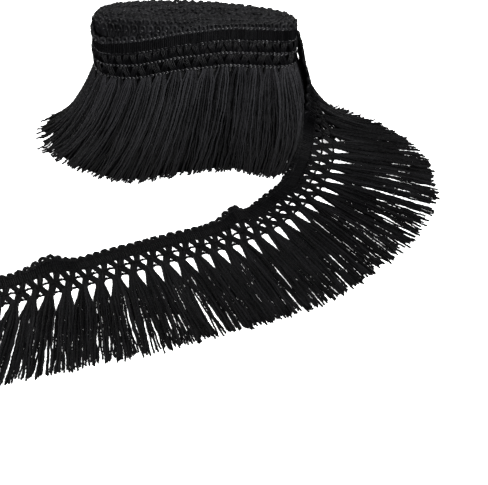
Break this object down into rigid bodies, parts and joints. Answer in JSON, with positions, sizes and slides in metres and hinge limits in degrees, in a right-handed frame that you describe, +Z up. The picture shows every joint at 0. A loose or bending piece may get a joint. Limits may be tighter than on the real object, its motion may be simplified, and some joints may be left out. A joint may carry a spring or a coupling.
{
  "type": "tassel fringe trim",
  "caption": "Black yarn trim with a scalloped band, a knotted net and long tassels, wound into a flat oval roll that stands on its fringe, with one end peeled off and laid out.",
  "frame": {"origin": "on the floor under the middle of the wound roll", "axes": "+Z up from the floor, +X along the roll's long way towards the end where the loose strip peels off, +Y from the loose strip towards the back of the roll"},
  "size_m": [0.2051, 0.2078, 0.066],
  "materials": {
    "band_yarn": "matt black braided and chain-stitched yarn with a slight sheen",
    "tassel_yarn": "soft black twisted yarn with a low sheen along the strands"
  },
  "bodies": {
    "root": {"wound_roll": "band_yarn", "roll_fringe_right": "tassel_yarn", "roll_fringe_back": "tassel_yarn", "roll_fringe_left": "tassel_yarn", "roll_fringe_front": "tassel_yarn", "loose_heading": "band_yarn", "loose_fringe_1": "tassel_yarn", "loose_fringe_2": "tassel_yarn", "loose_fringe_3": "tassel_yarn", "loose_fringe_4": "tassel_yarn", "loose_fringe_5": "tassel_yarn"}
  },
  "joints": []
}
